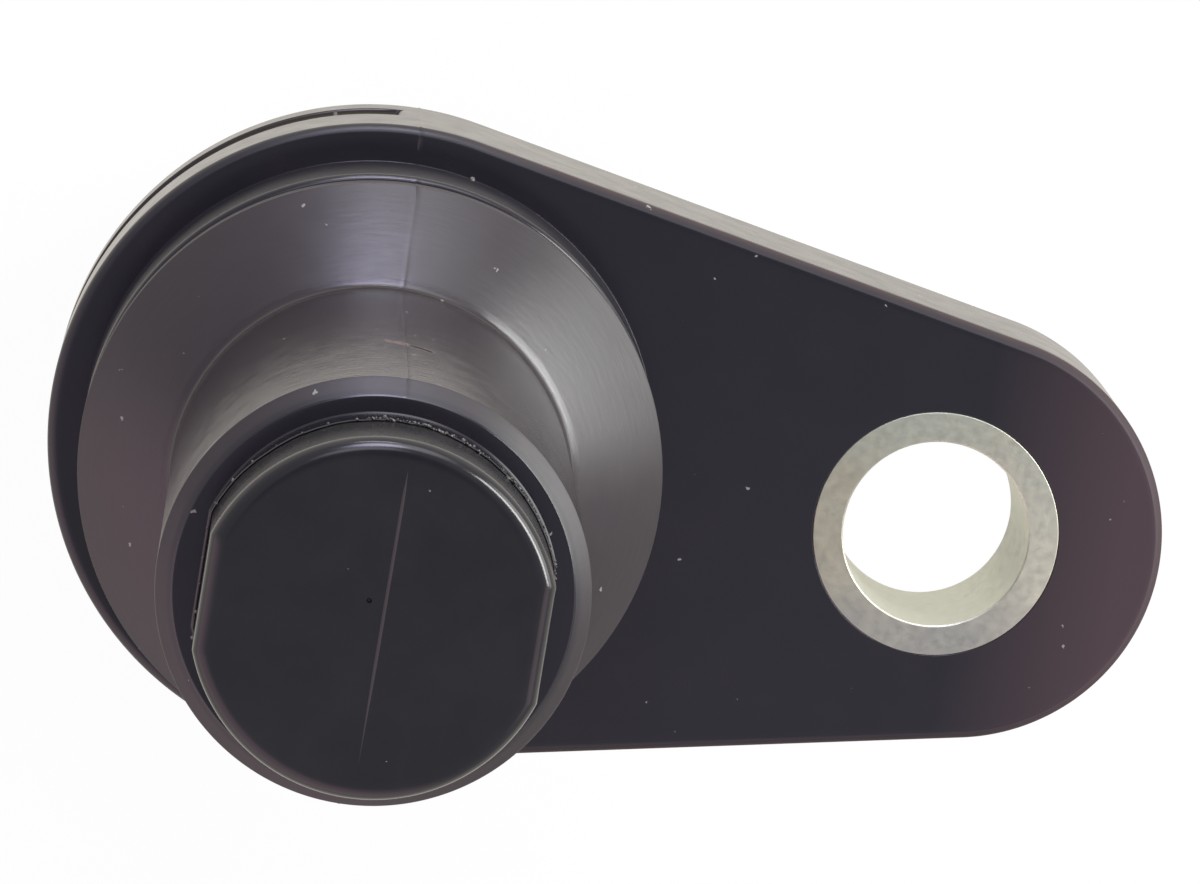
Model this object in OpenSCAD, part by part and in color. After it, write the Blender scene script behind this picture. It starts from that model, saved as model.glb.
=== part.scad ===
// Crankshaft position sensor, overmoulded, with a bolt-on flange and a three-way socket.
// Z runs along the barrel with the sensing tip up, and the mounting face of the flange is at Z 0.
// The bolt hole lies on +X. The socket opens downwards, behind the flange.

/* [Flange] */
// Thickness of the flange, which is also the length of the bolt bushing
flange_thickness = 6.7; // [5.5:0.1:9]
// Radius of the flange round the barrel
flange_end_r = 11.2; // [10.6:0.1:13]
// Radius of the flange round the bolt hole
ear_end_r = 7.2; // [6:0.1:8.5]
// Distance from the barrel axis to the bolt hole
bolt_spacing = 20; // [19:0.5:26]
// How far the centre of the ear's round end lies beyond the bolt hole
ear_overhang = 0.8; // [0.2:0.1:2]
// Radius on the edges of the flange
flange_edge_r = 0.35; // [0.1:0.05:0.8]

/* [Rim groove] */
// Width of the groove in the rim, on the side away from the bolt
rim_groove_w = 1.65; // [1:0.05:1.8]
// Depth of that groove
rim_groove_depth = 0.9; // [0.5:0.1:1.1]
// Distance from the mounting face to the groove
rim_groove_setback = 3.35; // [1.5:0.05:3.4]
// Distance from the barrel's middle plane to the groove's ends
rim_groove_end = 0.8; // [0.2:0.1:4]

/* [Bolt bushing] */
// Bore of the bushing, a clearance hole for an M6 bolt
bushing_bore_d = 6.5; // [6.2:0.1:6.8]
// Outside diameter of the bushing
bushing_od = 8.6; // [7.8:0.1:10]
// Chamfer on the rims of the bore
bushing_chamfer = 0.1; // [0.05:0.05:0.25]

/* [Barrel] */
// Diameter of the pilot that centres the sensor in its hole
pilot_d = 19.8; // [18:0.1:20.4]
// Height of the pilot collar above the mounting face
collar_height = 3.8; // [2.5:0.1:6]
// Radius on the front edge of the collar
collar_edge_r = 0.25; // [0.1:0.05:0.5]
// Width of the seal groove in front of the collar
seal_groove_w = 1.7; // [1.2:0.1:3]
// Depth of the seal groove
seal_groove_depth = 1.3; // [0.6:0.1:1.8]
// Height of the lip between the seal groove and the cone
lip_height = 0.7; // [0.4:0.1:1.5]
// Height of the cone that leads from the lip to the neck
cone_height = 2.7; // [1.5:0.1:5]
// Radius in the corner between the cone and the neck
cone_fillet_r = 0.8; // [0.3:0.1:1.5]
// Diameter of the neck
neck_d = 13.4; // [13:0.1:15]
// Distance from the mounting face to the shoulder round the sensing tip
neck_reach = 29.3; // [26:0.1:31]
// Width of the bevel at the front of the neck
neck_bevel_w = 0.55; // [0.2:0.05:0.6]
// Height of that bevel
neck_bevel_h = 0.6; // [0.2:0.1:1.5]

/* [Sensing tip] */
// Diameter of the carrier that shows as the sensing tip
tip_d = 11.1; // [10.8:0.1:11.4]
// Width across the two flats of the tip
tip_flats = 10.5; // [9.6:0.1:10.7]
// Distance from the mounting face to the end of the tip
tip_reach = 33.8; // [32.5:0.1:40]
// Radius on the edge of the tip
tip_edge_r = 0.5; // [0.2:0.05:0.7]
// Thickness of the wall in front of the chip
tip_wall = 0.8; // [0.5:0.1:1.5]

/* [Carrier] */
// Distance from the mounting face to the buried end of the carrier
carrier_foot = 11; // [9.5:0.1:12.5]
// Number of ribs that lock the carrier into the barrel
lock_ribs = 3; // [1:1:4]
// Spacing of the lock ribs
lock_rib_pitch = 2; // [1.5:0.1:2.5]
// Height of each lock rib along the barrel
lock_rib_w = 0.7; // [0.4:0.1:1]
// How far a lock rib stands out of the carrier
lock_rib_proud = 0.5; // [0.2:0.1:0.6]
// Gap that shrinkage leaves round each moulded-in piece
shrink_gap = 0.01; // [0.01:0.01:0.03]

/* [Chip and magnet] */
// Width of the chip across the leads
chip_w = 5.6; // [5:0.1:6.4]
// Depth of the chip
chip_d = 4; // [3.4:0.1:4.2]
// Thickness of the chip
chip_thickness = 1.5; // [1.2:0.1:2]
// Width of a chip lead
lead_w = 0.45; // [0.3:0.05:0.7]
// Thickness of a chip lead
lead_thickness = 0.4; // [0.3:0.05:0.5]
// Length of lead that is welded to its terminal
weld_length = 4; // [2.5:0.1:4.5]
// Width of the magnet
magnet_w = 6; // [4.5:0.1:6.4]
// Depth of the magnet
magnet_d = 4.4; // [3.6:0.1:4.6]
// Length of the magnet
magnet_length = 5; // [3.5:0.1:5.5]

/* [Terminals] */
// Spacing of the terminals in the socket
blade_pitch = 4; // [3.4:0.1:4.2]
// Width of a terminal's blade
blade_w = 1.5; // [1:0.1:1.8]
// Thickness of the terminal strip
strip_thickness = 0.64; // [0.5:0.02:0.8]
// Length of blade in the socket
blade_length = 7.5; // [6:0.1:9]
// Length of the pointed end of a blade
blade_point = 1.2; // [0.6:0.1:2]
// Spacing of the terminals at the chip
lead_pitch = 2; // [1.8:0.1:2.2]
// Width of the strips in the carrier
strip_w = 1; // [0.7:0.1:1.2]
// Distance between the socket's plane of terminals and the chip's
strip_step = 2.58; // [2.4:0.02:2.8]
// Gap between the magnet and the ends of the strips
strip_end_gap = 1; // [0.6:0.1:2]

/* [Capacitors] */
// Length of a capacitor, across two terminals
capacitor_l = 2; // [1.6:0.1:2.4]
// Width of a capacitor, along the barrel
capacitor_w = 1.25; // [0.8:0.05:1.6]
// Height of a capacitor
capacitor_h = 1.25; // [0.6:0.05:1.4]
// Distance from the carrier's foot to the first capacitor
capacitor_setback = 4.5; // [2:0.1:5]
// Spacing of the capacitors along the barrel
capacitor_pitch = 2.6; // [2.2:0.1:3]
// Length of a capacitor's metal ends
capacitor_end_l = 0.4; // [0.2:0.05:0.6]
// How far the metal ends stand out of the capacitor's body
capacitor_end_proud = 0.05; // [0.02:0.01:0.1]

/* [Connector] */
// Distance from the back of the flange to the mouth of the socket
connector_reach = 20; // [18:0.1:26]
// Width of the connector shroud
shroud_w = 20; // [17:0.1:20.4]
// Depth of the connector shroud, which has round ends
shroud_d = 13; // [12.6:0.1:13.4]
// Wall of the connector shroud
shroud_wall = 1.6; // [1.2:0.1:1.8]
// Depth of the socket
socket_depth = 13; // [11:0.1:14]
// How far the plinth stands out round the shroud
plinth_proud = 1; // [0.5:0.1:1.4]
// Height of the plinth on the back of the flange
plinth_height = 2.5; // [1.5:0.1:4]

/* [Latch] */
// Width of the latch ramp
latch_w = 5; // [3:0.1:6]
// How far the latch ramp stands out
latch_proud = 1.5; // [0.8:0.1:2]
// Length of the sloping part of the latch ramp
latch_slope = 3.2; // [2:0.1:4]
// Length of the level part of the latch ramp
latch_land = 0.8; // [0.4:0.1:1.5]
// Distance from the mouth of the socket to the latch ramp
latch_setback = 2.5; // [1.5:0.1:4]
// Width of the rails beside the latch
rail_w = 1.2; // [0.8:0.1:1.6]
// Gap between the latch ramp and each rail
rail_gap = 0.8; // [0.5:0.1:1.2]

/* [Hidden] */
$fn = 96;

// Spare length by which a cut passes the face that it breaks through
overcut = 1;
// Depth to which the barrel and the connector run into the flange that carries them
root = flange_thickness / 3;

// Flange: two round ends joined by their common tangents
ear_x = bolt_spacing + ear_overhang;
flange_taper = asin((flange_end_r - ear_end_r) / ear_x);
tangent_length = ear_x * cos(flange_taper);
// The straight sides lie this far inside the true tangents, so that they cross the round ends cleanly
tangent_inset = 0.03;
// The edge strip of a straight side is this much thinner than the flange, above and below
strip_inset = 0.01;
edge_strip_w = 3 * flange_edge_r;
core_inset = flange_edge_r + tangent_inset;

// Heights along the barrel, from the mounting face
lip_z = collar_height + seal_groove_w;
cone_z = lip_z + lip_height;
neck_z = cone_z + cone_height;
pilot_r = pilot_d / 2;
neck_r = neck_d / 2;

// The fillet circle touches the cone and the neck
cone_run = pilot_r - neck_r;
cone_slant = norm([cone_run, cone_height]);
fillet_x = neck_r + cone_fillet_r;
fillet_z = neck_z + cone_fillet_r * (cone_slant - cone_height) / cone_run;
fillet_foot_x = fillet_x - cone_fillet_r * cone_height / cone_slant;
fillet_foot_z = fillet_z - cone_fillet_r * cone_run / cone_slant;

// Heights along the connector, which lies below the mounting face
flange_back_z = -flange_thickness;
mouth_z = flange_back_z - connector_reach;
socket_floor_z = mouth_z + socket_depth;
blade_end_z = socket_floor_z - blade_length;
latch_z = mouth_z + latch_setback;

// The chip lies on the magnet, just behind the front wall of the tip
chip_front_z = tip_reach - tip_wall;
magnet_front_z = chip_front_z - chip_thickness;
magnet_back_z = magnet_front_z - magnet_length;
strip_end_z = magnet_back_z - strip_end_gap;
lead_end_z = strip_end_z - weld_length;
lead_inner_y = strip_step + strip_thickness / 2;
lead_outer_y = lead_inner_y + lead_thickness;

// The strips step sideways and close up inside the flange
step_low_z = flange_back_z;
step_high_z = 0;
step_angle = atan(strip_step / (step_high_z - step_low_z));
capacitor_z = carrier_foot + capacitor_setback;

// Half of a slab's section, with both outer edges rounded
module slab_section(reach, height, edge_r) {
    square([reach - edge_r, height]);
    translate([0, edge_r]) square([reach, height - 2 * edge_r]);
    for (level = [edge_r, height - edge_r])
        translate([reach - edge_r, level]) circle(edge_r);
}

// A flat bar with round ends, seen along Z
module stadium(width, depth) {
    square([width - depth, depth], center = true);
    for (side = [-1, 1])
        translate([side * (width - depth) / 2, 0]) circle(d = depth);
}

// The rounded edge strip of one straight side of the flange
module flange_side() {
    rotate([0, 0, 90 - flange_taper])
        translate([flange_end_r - tangent_inset - edge_strip_w, 0, strip_inset])
            rotate([90, 0, 0])
                linear_extrude(tangent_length)
                    slab_section(edge_strip_w, flange_thickness - 2 * strip_inset, flange_edge_r);
}

module flange_core() {
    near_r = flange_end_r - core_inset;
    far_r = ear_end_r - core_inset;
    near = near_r * [sin(flange_taper), cos(flange_taper)];
    far = [ear_x, 0] + far_r * [sin(flange_taper), cos(flange_taper)];
    linear_extrude(flange_thickness)
        polygon([[0, 0], near, far, [far.x, -far.y], [near.x, -near.y]]);
}

module flange() {
    translate([0, 0, flange_back_z]) {
        rotate_extrude() slab_section(flange_end_r, flange_thickness, flange_edge_r);
        translate([ear_x, 0, 0])
            rotate_extrude() slab_section(ear_end_r, flange_thickness, flange_edge_r);
        flange_side();
        mirror([0, 1, 0]) flange_side();
        flange_core();
    }
}

// The groove runs round the rim on the half that lies away from the bolt
module rim_groove() {
    translate([0, 0, -rim_groove_setback - rim_groove_w])
        difference() {
            cylinder(h = rim_groove_w, r = flange_end_r + overcut);
            translate([0, 0, -overcut])
                cylinder(h = rim_groove_w + 2 * overcut, r = flange_end_r - rim_groove_depth);
            translate([-rim_groove_end, -2 * flange_end_r, -overcut])
                cube([4 * flange_end_r, 4 * flange_end_r, rim_groove_w + 2 * overcut]);
        }
}

module cone_fillet() {
    difference() {
        polygon([
            [neck_r, neck_z], [neck_r, fillet_z],
            [fillet_x, fillet_z], [fillet_foot_x, fillet_foot_z]
        ]);
        translate([fillet_x, fillet_z]) circle(cone_fillet_r);
    }
}

// Collar, seal groove, lip, cone and neck, as one revolved section
module barrel_section() {
    translate([0, -root]) {
        square([pilot_r, root + collar_height - collar_edge_r]);
        square([pilot_r - collar_edge_r, root + collar_height]);
        square([pilot_r - seal_groove_depth, root + cone_z]);
    }
    translate([pilot_r - collar_edge_r, collar_height - collar_edge_r])
        circle(collar_edge_r);
    polygon([
        [0, lip_z], [pilot_r, lip_z], [pilot_r, cone_z], [neck_r, neck_z],
        [neck_r, neck_reach - neck_bevel_h], [neck_r - neck_bevel_w, neck_reach], [0, neck_reach]
    ]);
    cone_fillet();
}

// A section drawn in Y and Z, extruded to the given width across X
module across_x(width) {
    rotate([90, 0, 90])
        linear_extrude(width, center = true) children();
}

// A section drawn in X and Z, extruded to the given depth across Y
module across_y(depth) {
    rotate([90, 0, 0])
        linear_extrude(depth, center = true) children();
}

// The ramp faces the mouth, so that a plug's latch rides up it and drops behind
module latch_ramp() {
    shroud_y = -shroud_d / 2;
    latch_y = shroud_y - latch_proud;
    ramp_end_z = latch_z + latch_slope;
    land_end_z = ramp_end_z + latch_land;
    across_x(latch_w)
        polygon([
            [shroud_y + shroud_wall / 2, latch_z], [shroud_y, latch_z], [latch_y, ramp_end_z],
            [latch_y, land_end_z], [shroud_y + shroud_wall / 2, land_end_z]
        ]);
}

module latch_rails() {
    rail_x = latch_w / 2 + rail_gap;
    for (side = [0, 1])
        mirror([side, 0, 0])
            translate([rail_x, -shroud_d / 2 - latch_proud, latch_z])
                cube([rail_w, latch_proud + shroud_wall / 2, flange_back_z + root - latch_z]);
}

module connector() {
    translate([0, 0, mouth_z])
        linear_extrude(connector_reach + root) stadium(shroud_w, shroud_d);
    translate([0, 0, flange_back_z - plinth_height])
        linear_extrude(plinth_height + root)
            stadium(shroud_w + 2 * plinth_proud, shroud_d + 2 * plinth_proud);
    latch_ramp();
    latch_rails();
}

module socket() {
    translate([0, 0, mouth_z - overcut])
        linear_extrude(socket_depth + overcut)
            stadium(shroud_w - 2 * shroud_wall, shroud_d - 2 * shroud_wall);
}

// Half of the carrier's section, with its front edge rounded
module carrier_section(half_width) {
    length = tip_reach - carrier_foot;
    translate([0, carrier_foot]) {
        square([half_width - tip_edge_r, length]);
        square([half_width, length - tip_edge_r]);
        translate([half_width - tip_edge_r, length - tip_edge_r]) circle(tip_edge_r);
    }
}

// Outer form of the carrier, grown by a gap for the hole that it sits in
module carrier_form(gap) {
    translate([0, 0, -gap])
        intersection() {
            rotate_extrude() carrier_section(tip_d / 2 + gap);
            across_y(2 * tip_d)
                for (side = [0, 1])
                    mirror([side, 0]) carrier_section(tip_flats / 2 + gap);
        }
    for (rib = [1:lock_ribs])
        translate([0, 0, carrier_foot + rib * lock_rib_pitch - gap])
            cylinder(h = lock_rib_w + 2 * gap, r = tip_d / 2 + lock_rib_proud + gap);
}

// A stamped and bent terminal: its front outline cut through its side outline.
// place is -1, 0 or 1 along X.
module terminal_form(place, gap) {
    intersection() {
        across_y(4 * strip_step + strip_thickness) terminal_front(place, gap);
        across_x(4 * blade_pitch + blade_w) terminal_side(gap);
    }
}

module terminal_front(place, gap) {
    blade_half = blade_w / 2 + gap;
    strip_half = strip_w / 2 + gap;
    right = [
        [place * blade_pitch + blade_half / 2, blade_end_z - gap],
        [place * blade_pitch + blade_half, blade_end_z + blade_point],
        [place * blade_pitch + blade_half, step_low_z],
        [place * lead_pitch + strip_half, step_high_z],
        [place * lead_pitch + strip_half, strip_end_z + gap]
    ];
    left = [
        [place * lead_pitch - strip_half, strip_end_z + gap],
        [place * lead_pitch - strip_half, step_high_z],
        [place * blade_pitch - blade_half, step_low_z],
        [place * blade_pitch - blade_half, blade_end_z + blade_point],
        [place * blade_pitch - blade_half / 2, blade_end_z - gap]
    ];
    polygon(concat(right, left));
}

module terminal_side(gap) {
    half = strip_thickness / 2 + gap;
    mitre = half * tan(step_angle / 2);
    polygon([
        [half / 2, blade_end_z - gap],
        [half, blade_end_z + blade_point],
        [half, step_low_z - mitre],
        [strip_step + half, step_high_z - mitre],
        [strip_step + half, strip_end_z + gap],
        [strip_step - half, strip_end_z + gap],
        [strip_step - half, step_high_z + mitre],
        [-half, step_low_z + mitre],
        [-half, blade_end_z + blade_point],
        [-half / 2, blade_end_z - gap]
    ]);
}

// A block centred on the barrel, between two heights, grown by a gap
module block_form(width, depth, low_z, high_z, gap) {
    translate([-width / 2 - gap, -depth / 2 - gap, low_z - gap])
        cube([width + 2 * gap, depth + 2 * gap, high_z - low_z + 2 * gap]);
}

// The leads leave one side of the chip and bend back beside the magnet
module chip_form(gap) {
    lead_z = chip_front_z - chip_thickness / 2;
    lead_half = lead_thickness / 2 + gap;
    block_form(chip_w, chip_d, magnet_front_z, chip_front_z, gap);
    for (place = [-1, 0, 1])
        translate([place * lead_pitch, 0, 0])
            across_x(lead_w + 2 * gap)
                polygon([
                    [0, lead_z + lead_half],
                    [lead_outer_y + gap, lead_z + lead_half],
                    [lead_outer_y + gap, lead_end_z - gap],
                    [lead_inner_y - gap, lead_end_z - gap],
                    [lead_inner_y - gap, lead_z - lead_half],
                    [0, lead_z - lead_half]
                ]);
}

module magnet_form(gap) {
    block_form(magnet_w, magnet_d, magnet_back_z, magnet_front_z, gap);
}

// A chip capacitor that bridges the middle terminal and the one on the given side.
// Its two metal ends stand a little proud of its body.
module capacitor_form(side, level, gap) {
    body_l = capacitor_l - 2 * capacitor_end_l;
    translate([side * lead_pitch / 2, lead_inner_y, capacitor_z + level * capacitor_pitch]) {
        translate([-body_l / 2, capacitor_end_proud, capacitor_end_proud])
            cube([body_l, capacitor_h - 2 * capacitor_end_proud, capacitor_w - 2 * capacitor_end_proud]);
        for (end_x = [-capacitor_l / 2, capacitor_l / 2 - capacitor_end_l])
            translate([end_x - gap, -gap, -gap])
                cube([capacitor_end_l + 2 * gap, capacitor_h + 2 * gap, capacitor_w + 2 * gap]);
    }
}

module housing() {
    color([0.17, 0.165, 0.18])
        difference() {
            union() {
                flange();
                rotate_extrude() barrel_section();
                connector();
            }
            rim_groove();
            carrier_form(shrink_gap);
            translate([bolt_spacing, 0, flange_back_z - overcut])
                cylinder(h = flange_thickness + 2 * overcut, d = bushing_od + 2 * shrink_gap);
            socket();
            for (place = [-1, 0, 1]) terminal_form(place, shrink_gap);
        }
}

module bolt_bushing() {
    bore_r = bushing_bore_d / 2;
    rim_r = bore_r + bushing_chamfer;
    color([0.72, 0.71, 0.68])
        translate([bolt_spacing, 0, flange_back_z])
            rotate_extrude()
                polygon([
                    [rim_r, 0], [bushing_od / 2, 0], [bushing_od / 2, flange_thickness],
                    [rim_r, flange_thickness], [bore_r, flange_thickness - bushing_chamfer],
                    [bore_r, bushing_chamfer]
                ]);
}

module sensor_carrier() {
    color([0.13, 0.13, 0.14])
        difference() {
            carrier_form(0);
            chip_form(shrink_gap);
            magnet_form(shrink_gap);
            for (place = [-1, 0, 1]) terminal_form(place, shrink_gap);
            capacitor_form(-1, 0, shrink_gap);
            capacitor_form(1, 1, shrink_gap);
        }
}

module hall_chip() {
    color([0.08, 0.08, 0.09]) chip_form(0);
}

module bias_magnet() {
    color([0.35, 0.35, 0.37]) magnet_form(0);
}

module terminal_supply() {
    color([0.8, 0.74, 0.58]) terminal_form(-1, 0);
}

module terminal_ground() {
    color([0.8, 0.74, 0.58]) terminal_form(0, 0);
}

module terminal_signal() {
    color([0.8, 0.74, 0.58]) terminal_form(1, 0);
}

module supply_capacitor() {
    color([0.66, 0.55, 0.42]) capacitor_form(-1, 0, 0);
}

module signal_capacitor() {
    color([0.66, 0.55, 0.42]) capacitor_form(1, 1, 0);
}

housing();
bolt_bushing();
sensor_carrier();
hall_chip();
bias_magnet();
terminal_supply();
terminal_ground();
terminal_signal();
supply_capacitor();
signal_capacitor();
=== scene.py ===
import math

import bmesh
import bpy
from mathutils import Matrix, Vector, noise


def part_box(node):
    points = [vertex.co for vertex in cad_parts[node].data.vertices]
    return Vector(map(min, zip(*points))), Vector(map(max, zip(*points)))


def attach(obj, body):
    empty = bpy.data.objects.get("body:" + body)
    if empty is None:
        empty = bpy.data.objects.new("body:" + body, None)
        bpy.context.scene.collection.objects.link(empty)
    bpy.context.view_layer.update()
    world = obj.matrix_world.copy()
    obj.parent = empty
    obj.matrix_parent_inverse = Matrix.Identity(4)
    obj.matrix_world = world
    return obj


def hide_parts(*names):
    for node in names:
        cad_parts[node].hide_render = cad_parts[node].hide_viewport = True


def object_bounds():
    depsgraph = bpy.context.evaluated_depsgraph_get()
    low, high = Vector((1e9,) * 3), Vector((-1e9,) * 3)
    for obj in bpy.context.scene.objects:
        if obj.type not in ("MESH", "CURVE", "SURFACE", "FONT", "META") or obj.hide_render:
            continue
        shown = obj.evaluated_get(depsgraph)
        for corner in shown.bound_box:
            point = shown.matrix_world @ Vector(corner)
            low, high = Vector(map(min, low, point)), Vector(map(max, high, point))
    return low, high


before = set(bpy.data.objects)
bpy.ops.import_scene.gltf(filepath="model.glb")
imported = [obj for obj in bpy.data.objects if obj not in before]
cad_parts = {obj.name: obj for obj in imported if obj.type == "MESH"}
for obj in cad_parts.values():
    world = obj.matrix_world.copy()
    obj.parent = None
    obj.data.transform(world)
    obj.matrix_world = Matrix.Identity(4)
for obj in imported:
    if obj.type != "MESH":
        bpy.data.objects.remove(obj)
cad_low, cad_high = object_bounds()


# Terminals
# Three strips stamped from bronze and tin plated, one for each wire of the sensor.
# They are moulded into the carrier and the housing, and their blades stand in the socket.
mm = 0.001
tin_colour = (0.60, 0.58, 0.53, 1)
worn_tin_colour = (0.46, 0.36, 0.22, 1)
tin_stain_waves = 0.7
tin_stain_span = (0.45, 0.75)
# Patches have their waves and their two roughnesses, and a grain has its waves and its height.
tin_patches = (5, 0.22, 0.42)
tin_grain = (12, 0.002)
noise_span = (0.3, 0.7)


def add_node(tree, kind, inputs=None, **settings):
    """Adds a node, sets its settings, and links or fills its inputs."""
    node = tree.nodes.new(kind)
    for name, value in settings.items():
        setattr(node, name, value)
    for socket, value in (inputs or {}).items():
        if isinstance(value, bpy.types.NodeSocket):
            tree.links.new(value, node.inputs[socket])
        else:
            node.inputs[socket].default_value = value
    return node


def new_finish(name):
    """Makes a material, and returns it with its tree and its shader."""
    finish = bpy.data.materials.new(name)
    finish.use_nodes = True
    return finish, finish.node_tree, finish.node_tree.nodes["Principled BSDF"]


def place_in_mm(tree):
    """The place on the piece, in millimetres."""
    place = add_node(tree, "ShaderNodeTexCoord").outputs["Object"]
    scaled = add_node(tree, "ShaderNodeMapping", {"Vector": place, "Scale": [1 / mm] * 3})
    return scaled.outputs["Vector"]


def speckle(tree, place, waves, detail=3.0):
    """Soft noise from 0 to 1, with the given number of waves to a millimetre."""
    settings = {"Vector": place, "Scale": waves, "Detail": detail, "Roughness": 0.6}
    return add_node(tree, "ShaderNodeTexNoise", settings).outputs["Fac"]


def spread(tree, value, low, high, new_low=0.0, new_high=1.0):
    """Maps the span from low to high to the new span, and stops at its ends."""
    limits = {"Value": value, "From Min": low, "From Max": high, "To Min": new_low, "To Max": new_high}
    return add_node(tree, "ShaderNodeMapRange", limits).outputs["Result"]


def mixed(tree, share, first, second):
    """The first colour where the share is 0, and the second where it is 1."""
    return add_node(tree, "ShaderNodeMix", {0: share, 6: first, 7: second}, data_type="RGBA").outputs[2]


def use(tree, shader, **sources):
    """Links sources to the shader's sockets, with words joined by underlines."""
    for name, source in sources.items():
        tree.links.new(source, shader.inputs[name.replace("_", " ")])


def raised(tree, height, distance):
    """The normal of a surface that a height from 0 to 1 raises by up to that many millimetres."""
    bump = {"Height": height, "Distance": distance * mm, "Strength": 1.0}
    return add_node(tree, "ShaderNodeBump", bump).outputs["Normal"]


def patchy(tree, place, waves, low, high):
    """A roughness that drifts between two values, in patches."""
    return spread(tree, speckle(tree, place, waves), *noise_span, low, high)


def grainy(tree, place, waves, height):
    """The normal of a surface with a fine grain of that height."""
    return raised(tree, speckle(tree, place, waves), height)


def dress(name, finish):
    """Gives a piece of the frame its finish."""
    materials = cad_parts[name].data.materials
    materials.clear()
    materials.append(finish)


tin, tree, shader = new_finish("tin_plating")
place = place_in_mm(tree)
stains = spread(tree, speckle(tree, place, tin_stain_waves), *tin_stain_span)
shader.inputs["Metallic"].default_value = 1.0
use(
    tree, shader,
    Base_Color=mixed(tree, stains, tin_colour, worn_tin_colour),
    Roughness=patchy(tree, place, *tin_patches),
    Normal=grainy(tree, place, *tin_grain),
)
for name in ("terminal_supply", "terminal_ground", "terminal_signal"):
    dress(name, tin)


# Capacitors
# Two chip capacitors of fired ceramic with metal ends, soldered across the strips.
# They keep noise off the supply and the signal, and lie inside the carrier.
ceramic_colour = (0.34, 0.22, 0.13, 1)
pale_ceramic_colour = (0.42, 0.30, 0.19, 1)
ceramic_cloud_waves = 4
ceramic_patches = (9, 0.45, 0.6)
ceramic_grain = (20, 0.003)

ceramic, tree, shader = new_finish("fired_ceramic")
place = place_in_mm(tree)
use(
    tree, shader,
    Base_Color=mixed(tree, speckle(tree, place, ceramic_cloud_waves), ceramic_colour, pale_ceramic_colour),
    Roughness=patchy(tree, place, *ceramic_patches),
    Normal=grainy(tree, place, *ceramic_grain),
)
for name in ("supply_capacitor", "signal_capacitor"):
    dress(name, ceramic)


# Sensing chip
# A Hall chip moulded in black epoxy, with three leads that bend back beside the magnet.
# Its leads are welded to the strips, and it lies just behind the front wall of the tip.
epoxy_colour = (0.012, 0.012, 0.013, 1)
epoxy_filler_colour = (0.035, 0.035, 0.037, 1)
epoxy_filler_waves = 14
epoxy_patches = (6, 0.5, 0.7)
epoxy_grain = (25, 0.004)

epoxy, tree, shader = new_finish("chip_epoxy")
place = place_in_mm(tree)
use(
    tree, shader,
    Base_Color=mixed(tree, speckle(tree, place, epoxy_filler_waves), epoxy_colour, epoxy_filler_colour),
    Roughness=patchy(tree, place, *epoxy_patches),
    Normal=grainy(tree, place, *epoxy_grain),
)
dress("hall_chip", epoxy)


# Magnet
# A ground block of magnet alloy behind the chip, which gives the chip its field.
# It is pressed into the carrier before the tip is closed.
alloy_colour = (0.17, 0.17, 0.18, 1)
ground_alloy_colour = (0.30, 0.30, 0.31, 1)
grinding_stretch = (18, 1, 1)
alloy_line_waves = 1
alloy_patches = (1.5, 0.35, 0.55)
alloy_grain = (2, 0.003)

alloy, tree, shader = new_finish("ground_alloy")
stretched = add_node(tree, "ShaderNodeMapping", {"Vector": place_in_mm(tree), "Scale": grinding_stretch})
grinding = stretched.outputs["Vector"]
shader.inputs["Metallic"].default_value = 1.0
use(
    tree, shader,
    Base_Color=mixed(tree, speckle(tree, grinding, alloy_line_waves), alloy_colour, ground_alloy_colour),
    Roughness=patchy(tree, grinding, *alloy_patches),
    Normal=grainy(tree, grinding, *alloy_grain),
)
dress("bias_magnet", alloy)


# Carrier and sensing tip
# A round insert of black glass-filled plastic with two flats, moulded round the chip and the magnet.
# Its ribbed foot is locked in the barrel, and only the tip shows, with a fine mould line on its face.
carrier_low, carrier_high = (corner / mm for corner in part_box("sensor_carrier"))
tip_r = 5.55
tip_flat_x = 5.25
tip_edge_r = 0.5
tip_edge_steps = 10
tip_wall_h = 2
tip_face_inset = 0.8
lock_rib_r = carrier_high.x
lock_rib_w = 0.7
lock_rib_pitch = 2.0
lock_ribs = 3
mould_line_x = 0.25
mould_line_lean = 0.04
mould_line_top_y = 4.7
mould_line_end_y = -4.45
mould_line_w = 0.1
mould_line_h = 0.033
mould_line_stations = 30
mould_line_rise = 12
mould_line_fade = 3
pit_place = (-0.25, 0.6)
pit_r = 0.085
pit_depth = 0.08
pit_shape = ((1, 0), (0.85, 0.4), (0.5, 1))
pit_sides = 14
tip_z = carrier_high.z - mould_line_h
arc_steps = 112
flat_steps = 16
line_turn = math.radians(0.35)
merge_gap = 0.0001
sharp_turn = math.radians(25)
tip_colour = (0.0075, 0.0074, 0.0095, 1)
tip_bloom_colour = (0.017, 0.0163, 0.0175, 1)
tip_bloom_span = (0.35, 0.7)
tip_bloom_most = 0.35
tip_roughness = (0.13, 0.18)
tip_wall_dulling = 0.12
tip_wall_fade = 0.1
skin_grain_h = 0.0015
dust_colour = (0.22, 0.21, 0.20, 1)
dust_wobble_waves = 6.0
dust_wobble = 0.3


def arc_turns(start, end):
    """Angles along an arc, with three close together at its middle for the mould line."""
    turns = [start + (end - start) * step / arc_steps for step in range(arc_steps + 1)]
    middle = (start + end) / 2
    return sorted([*turns, middle - line_turn, middle + line_turn])


def tip_outline(inset):
    """The tip's outline, moved inwards: two arcs and two flats, counterclockwise."""
    arc_r = tip_r - inset
    flat_x = tip_flat_x - inset
    corner = math.acos(flat_x / arc_r)
    half_flat = arc_r * math.sin(corner)
    points = []
    for side in (1, -1):
        for turn in arc_turns(corner, math.pi - corner):
            points.append((side * arc_r * math.cos(turn), side * arc_r * math.sin(turn)))
        for step in range(1, flat_steps):
            along = half_flat * (1 - 2 * step / flat_steps)
            points.append((-side * flat_x, side * along))
    return points


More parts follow.
